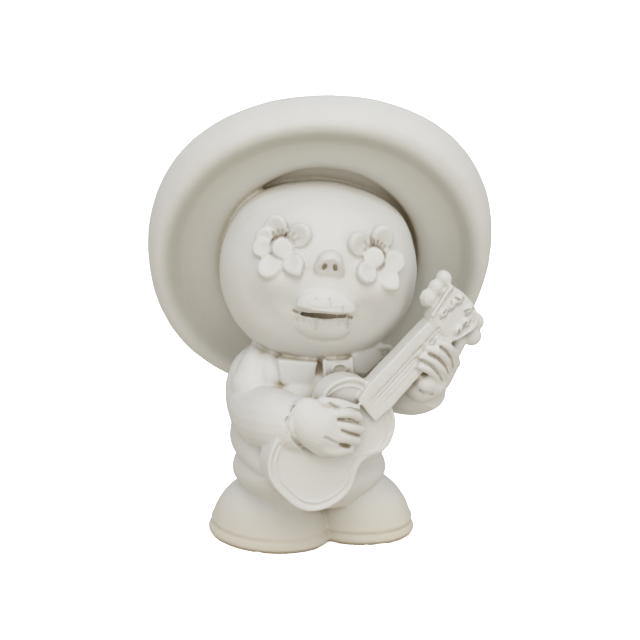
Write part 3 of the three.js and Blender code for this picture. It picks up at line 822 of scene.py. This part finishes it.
in_front_of_head = (18, 50)
press(figurine, head_place, (0, -1, 0), in_front_of_head, mouth_marks() + flower_marks())

# %% Strokes on the guitar
def board_marks():
    """The bead that runs round the soundboard, inside its rim."""
    inner_line = []
    steps, inset = 72, 3.4
    for i in range(steps + 1):
        x, y = body_outline(2 * math.pi * i / steps)
        out_x, out_y = x - BODY["middle"], y - BODY["across"]
        shrink = 1 - inset / math.hypot(out_x, out_y)
        inner_line.append((BODY["middle"] + out_x * shrink, BODY["across"] + out_y * shrink))
    return [(inner_line, 0.8, -0.45)]


def string_marks():
    """Four grooves along the neck, fainter at its foot."""
    marks = []
    start, faint_to, end = 1, 5, HEADSTOCK["start"]
    for across, depth in ((2.7, 0.55), (1.5, 0.45), (0.1, 0.2), (-1.6, 0.2)):
        marks.append(([(faint_to, across), (end, across)], 0.45, depth))
        marks.append(([(start, across), (faint_to, across)], 0.4, depth / 2))
    return marks


def headstock_marks():
    """A line inside each bead, and a slot and an arc at each post."""
    left_line = [(38.6, 8), (46.9, 9)]
    right_line = [(37, -3.8), (40.6, -5), (45, -5.2), (47.4, -3.4)]
    marks = [(left_line, FINE, 0.5), (right_line, FINE, 0.4)]
    for i, (x, y) in enumerate(POSTS):
        lean, slot = math.radians(50 * i), 1.2
        marks.append(([(x, y), (x + slot * math.cos(lean), y + slot * math.sin(lean))], FINE, 1))
        marks.append(([(x - 1.9, y - 1.2), (x - 0.2, y - 1.9), (x + 1.6, y - 1.2)], 0.45, 0.7))
    return marks


out_of_board = (0, 0, 1)
on_soundboard, on_neck, on_headstock = (-1, 1.4), (1.4, 2.8), (1.4, 3.9)
press(figurine, guitar_place, out_of_board, on_soundboard, board_marks())
press(figurine, guitar_place, out_of_board, on_neck, string_marks())
press(figurine, guitar_place, out_of_board, on_headstock, headstock_marks())

# %% Strokes on the hands
def hand_marks():
    strumming_slots = [
        ([(-10.7, 9.7), (-8.7, 6.5), (-6.6, 1.6)], FINE, 1.1),
        ([(-12.4, 6.4), (-10.9, 2.4), (-9.4, -1.6)], FINE, 1.1),
        ([(-18, 9.9), (-16.7, 5.2), (-15.8, 2.4)], 0.6, 0.9),
        ([(-16, 2.8), (-14.4, -1)], 0.8, 1.8),
        ([(-8.9, 15.3), (-8.6, 13.2), (-7.6, 11), (-5.4, 8.6), (-3.7, 4.9)], 0.6, 0.9),
    ]
    fretting_slots = [
        ([(31, -1.6), (31.4, -4.6), (31.3, -8.3), (29.9, -12.4)], FINE, 1.1),
        ([(26.6, -0.1), (27.8, -4), (27.9, -8.4), (27.3, -12.3)], FINE, 1.1),
        ([(23.3, 0.4), (24.4, -3.8), (24.3, -9.4), (23.9, -12.1)], FINE, 1),
    ]
    cuff_end = (-25, 18)
    upper_cuff = [(-11, 22.3), (-13.3, 22.6), (-15.6, 23.4), (-18, 22.9), (-21.1, 22.1), (-23.4, 20.4)]
    lower_cuff = [cuff_end, (-25.3, 14.6), (-25, 9.6), (-24, 5)]
    fretting_cuff = [(16.2, -5.4), (16.1, -10), (18.5, -14)]
    cuffs = [(upper_cuff + [cuff_end], 0.7, 0.9), (lower_cuff, FINE, 0.8), (fretting_cuff, 0.8, 0.8)]
    return strumming_slots + fretting_slots + cuffs


on_hands = (1.5, 12)
press(figurine, guitar_place, out_of_board, on_hands, hand_marks())

# %% [markdown]
# A casting is never true: it is fettled by hand with a wet sponge. A broad and a finer
# displacement, both very shallow, give that unevenness, and then the skin is thinned to a
# mesh of a fair size. The underside is ground flat, so it is squashed back onto the floor.

# %% Hand-made unevenness and final mesh
def uneven(piece, size, strength):
    """Moves the skin by a soft cloud pattern of one size."""
    clouds = bpy.data.textures.new("sponge", type="CLOUDS")
    clouds.noise_scale = size
    apply(piece, "DISPLACE", texture=clouds, strength=strength, mid_level=0.85, texture_coords="LOCAL")


def finish_mesh(piece):
    wanted, ground = 190000, 0.25
    uneven(piece, 16, 0.45)
    uneven(piece, 4, 0.14)
    triangles = 2 * len(piece.data.polygons)
    if triangles > wanted:
        apply(piece, "DECIMATE", ratio=wanted / triangles)
    choose(piece)
    bpy.ops.object.mode_set(mode="EDIT")
    pick(piece, lambda vertex: vertex.co.z < ground)
    bpy.ops.transform.resize(value=(1, 1, 0), center_override=(0, 0, 0))
    bpy.ops.object.mode_set(mode="OBJECT")
    piece.scale = (MM, MM, MM)
    bpy.ops.object.transform_apply(location=True, rotation=True, scale=True)
    bpy.ops.object.shade_smooth()


finish_mesh(figurine)
print("final mesh:", len(figurine.data.polygons), "faces")

# %% [markdown]
# The finish is bisque: clay that has been fired once and not glazed. It is off-white and
# quite matt. Close up it has a fine sandy grain, a few pin holes, and faint streaks from
# the sponge. Shader sums are written as plain Python with a small class that wraps a
# socket.

# %% Shader helper
class Socket:
    """Wraps a node's output, so that sums on it add Math nodes."""

    def __init__(self, tree, output):
        self.tree, self.output = tree, output

    def node(self, kind, settings=None, out=0, **inputs):
        """Adds any node: its settings first, then the values or links of its sockets."""
        made = self.tree.nodes.new(kind)
        for name, value in (settings or {}).items():
            setattr(made, name, value)
        for name, value in inputs.items():
            key = int(name[1:]) if name[1:].isdigit() else name.replace("_", " ")
            if isinstance(value, Socket):
                self.tree.links.new(value.output, made.inputs[key])
            else:
                made.inputs[key].default_value = value
        return Socket(self.tree, made.outputs[out])

    def maths(self, how, first, second):
        return self.node("ShaderNodeMath", {"operation": how}, i0=first, i1=second)

    def __add__(self, other):
        return self.maths("ADD", self, other)

    __radd__ = __add__

    def __mul__(self, other):
        return self.maths("MULTIPLY", self, other)

    __rmul__ = __mul__

    def __sub__(self, other):
        return self.maths("SUBTRACT", self, other)

    def __rsub__(self, other):
        return self.maths("SUBTRACT", other, self)

    def __pow__(self, other):
        return self.maths("POWER", self, other)

    def between(self, low, high):
        """0 at or below low, 1 at or above high, smooth between them."""
        smooth = {"interpolation_type": "SMOOTHSTEP"}
        return self.node("ShaderNodeMapRange", smooth, Value=self, From_Min=low, From_Max=high)


# %% [markdown]
# The colour isn't the same all over, and most of what changes is painted light and shade.
# Every crease is painted warmer and darker, as shade and the light that bounces between
# the walls, and the narrowest ones are painted dark brown as deep shade. The foot is
# painted warmer and darker near the floor, as shade with the floor's warm bounce, and the
# flat dish of the hat, which lies in the shade of its rolled edge, is painted greyer as
# that shade. Ambient occlusion finds the creases, and the height and the distance from
# the middle of the hat find the rest.

# %% Bisque
def noise(where, scale, detail):
    return where.node("ShaderNodeTexNoise", Vector=where, Scale=scale, Detail=detail)


def blend(share, first, second):
    """The first colour at a share of 0, the second at 1."""
    return share.node("ShaderNodeMix", {"data_type": "RGBA"}, out=2, i0=share, i6=first, i7=second)


def shut_in(where, reach, low, high):
    """1 deep in a crease that is narrower than the reach, 0 on open skin: a mask for painted shade."""
    opened = where.node("ShaderNodeAmbientOcclusion", {"samples": 8}, out=1, Distance=reach * MM)
    return 1 - opened.between(low, high)


def hat_dish_shade(in_mm):
    """1 in the dish of the hat and at its crease, 0 on the rolled edge and elsewhere: the mask for the
    hat's painted shade.
    """
    axis = hat_place.to_3x3() @ Vector((0, 0, 1))
    opening, crease, roll = (32, 36), (40, 50), (52, 57)
    offset = in_mm.node("ShaderNodeVectorMath", {"operation": "SUBTRACT"}, i0=in_mm, i1=HAT["centre"])
    behind = in_mm.node("ShaderNodeVectorMath", {"operation": "DOT_PRODUCT"}, out=1, i0=offset, i1=axis)
    far = in_mm.node("ShaderNodeVectorMath", {"operation": "LENGTH"}, out=1, i0=offset)
    radius = (far ** 2 - behind ** 2) ** 0.5
    on_brim = behind.between(-6, -3) * (1 - behind.between(3, 6))
    in_dish = on_brim * radius.between(*opening) * (1 - radius.between(*roll))
    return in_dish * (0.6 + 0.4 * radius.between(*crease))


def bisque_colour(place, in_mm, pore):
    white, cream, painted_dish_shade = (0.73, 0.728, 0.715, 1), (0.72, 0.71, 0.69, 1), (0.55, 0.54, 0.48, 1)
    painted_warm_shade, painted_crease_shade = (0.64, 0.585, 0.455, 1), (0.42, 0.34, 0.21, 1)
    mottle = noise(in_mm, 0.07, 2).between(0.35, 0.65)
    colour = blend(mottle * 0.6, white, cream)
    # The hat's dish is painted greyer: painted shade under its rolled edge.
    colour = blend(hat_dish_shade(in_mm) * 0.85, colour, painted_dish_shade)
    high, foot = place.node("ShaderNodeSeparateXYZ", Vector=in_mm, out=2), 22
    # Painted warm shade near the floor: darker and warmer towards the bottom, up to 22 mm.
    colour = blend((1 - high.between(0, foot)) * 0.55, colour, painted_warm_shade)
    # Painted shade in the creases, warm like light bounced between their walls.
    colour = blend(shut_in(place, 22, 0.1, 0.65) * 0.6, colour, painted_warm_shade)
    # Painted dark shade deep in the narrowest creases.
    colour = blend(shut_in(place, 4, 0.2, 0.8) * 0.8, colour, painted_crease_shade)
    # Pin holes are painted a little darker and warmer, as shade inside them.
    return blend(pore * 0.3, colour, painted_warm_shade)


def bisque():
    material = bpy.data.materials.new("bisque")
    material.use_nodes = True
    tree = material.node_tree
    shader = tree.nodes["Principled BSDF"]
    place = Socket(tree, tree.nodes.new("ShaderNodeTexCoord").outputs["Object"])
    in_mm = place.node("ShaderNodeVectorMath", {"operation": "SCALE"}, i0=place, Scale=1 / MM)
    streaked = place.node("ShaderNodeMapping", i0=in_mm, Scale=(0.05, 0.3, 0.9))
    grain = noise(in_mm, 2.4, 4)
    streaks = noise(streaked, 1, 4)
    pore = 1 - place.node("ShaderNodeTexVoronoi", Vector=in_mm, Scale=0.42).between(0.04, 0.11)
    rough = 0.82 + grain * 0.12
    height = grain * 0.6 + streaks * 0.5 - pore * 0.8
    bump = place.node("ShaderNodeBump", Strength=0.25, Distance=0.25 * MM, Height=height)
    tree.links.new(bisque_colour(place, in_mm, pore).output, shader.inputs["Base Color"])
    tree.links.new(rough.output, shader.inputs["Roughness"])
    tree.links.new(bump.output, shader.inputs["Normal"])
    shader.inputs["Specular IOR Level"].default_value = 0.25
    return material


figurine.data.materials.clear()
figurine.data.materials.append(bisque())
print("finish:", figurine.data.materials[0].name)

# %% [markdown]
# The picture has a white ground with only a thin contact shadow, and soft light from high
# in front. A broad sun stands in for that softbox, and a second, very broad one shines
# from low in front to fill the shadows. Suns are used because their light is even over the
# whole floor. The floor looks white from the camera, but it throws back less light than
# white paper would, and warmer light, since the undersides in the picture stay dim and
# warm.

# %% Floor
def floor():
    bpy.ops.object.select_all(action="DESELECT")
    bpy.ops.mesh.primitive_plane_add(size=40, location=(0, 0, 0))
    sheet = bpy.context.object
    sheet.name = "floor"
    material = bpy.data.materials.new("pale_floor")
    material.use_nodes = True
    tree = material.node_tree
    seen = tree.nodes["Principled BSDF"]
    seen.inputs["Base Color"].default_value = (0.95, 0.95, 0.95, 1)
    seen.inputs["Roughness"].default_value = 1
    seen.inputs["Specular IOR Level"].default_value = 0
    seen.inputs["Emission Color"].default_value = (1, 1, 1, 1)
    seen.inputs["Emission Strength"].default_value = 0.8
    bounced = tree.nodes.new("ShaderNodeBsdfDiffuse")
    bounced.inputs["Color"].default_value = (0.75, 0.7, 0.6, 1)
    light_path = tree.nodes.new("ShaderNodeLightPath")
    either = tree.nodes.new("ShaderNodeMixShader")
    tree.links.new(light_path.outputs["Is Camera Ray"], either.inputs[0])
    tree.links.new(bounced.outputs[0], either.inputs[1])
    tree.links.new(seen.outputs[0], either.inputs[2])
    tree.links.new(either.outputs[0], tree.nodes["Material Output"].inputs["Surface"])
    sheet.data.materials.append(material)


floor()

# %% Light
def from_round(azimuth, height):
    """The direction towards a place round the figure: 0 is in front, minus is to the left."""
    azimuth, height = math.radians(azimuth), math.radians(height)
    flat = math.cos(height)
    return Vector((math.sin(azimuth) * flat, -math.cos(azimuth) * flat, math.sin(height)))


def soft_sun(name, azimuth, height, power, softness):
    bpy.ops.object.light_add(type="SUN", location=from_round(azimuth, height))
    lamp = bpy.context.object
    lamp.name = name
    lamp.data.energy = power
    lamp.data.angle = math.radians(softness)
    lamp.rotation_mode = "QUATERNION"
    lamp.rotation_quaternion = from_round(azimuth, height).to_track_quat("Z", "Y")


def white_room(strength):
    """A white world: full strength to the camera, dimmer as a light."""
    world = bpy.data.worlds.new("white_room")
    world.use_nodes = True
    tree = world.node_tree
    sky = tree.nodes["Background"]
    light_path = tree.nodes.new("ShaderNodeLightPath")
    glow = Socket(tree, light_path.outputs["Is Camera Ray"]) * (1 - strength) + strength
    tree.links.new(glow.output, sky.inputs["Strength"])
    sky.inputs["Color"].default_value = (1, 1, 1, 1)
    bpy.context.scene.world = world
    bpy.context.scene.view_settings.view_transform = "Standard"


white_room(0.62)
soft_sun("front_softbox", azimuth=-14, height=56, power=0.8, softness=40)
soft_sun("low_fill", azimuth=4, height=-4, power=0.95, softness=100)

# %% [markdown]
# The camera looks 16 degrees down and stands 14 degrees to the left, with a long lens, as
# the ellipses of the brim and the feet in the picture say.

# %% Camera
def camera():
    lens, sensor, picture_width, pixels_per_mm = 85, 36, 640, 2.85
    towards_eye = from_round(-14, 16)
    aim = Vector((4.5, 4.8, 76.5)) * MM
    far = lens / sensor * picture_width / pixels_per_mm * MM
    bpy.ops.object.camera_add(location=aim + towards_eye * far)
    eye = bpy.context.object
    eye.data.lens, eye.data.sensor_width = lens, sensor
    eye.data.clip_start, eye.data.clip_end = 0.01, 60
    eye.rotation_mode = "QUATERNION"
    eye.rotation_quaternion = towards_eye.to_track_quat("Z", "Y")
    bpy.context.scene.camera = eye


camera()
print("camera at", bpy.context.scene.camera.location)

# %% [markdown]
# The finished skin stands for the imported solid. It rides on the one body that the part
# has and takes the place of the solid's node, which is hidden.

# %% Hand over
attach(figurine, "root")
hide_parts("mariachi_figurine")
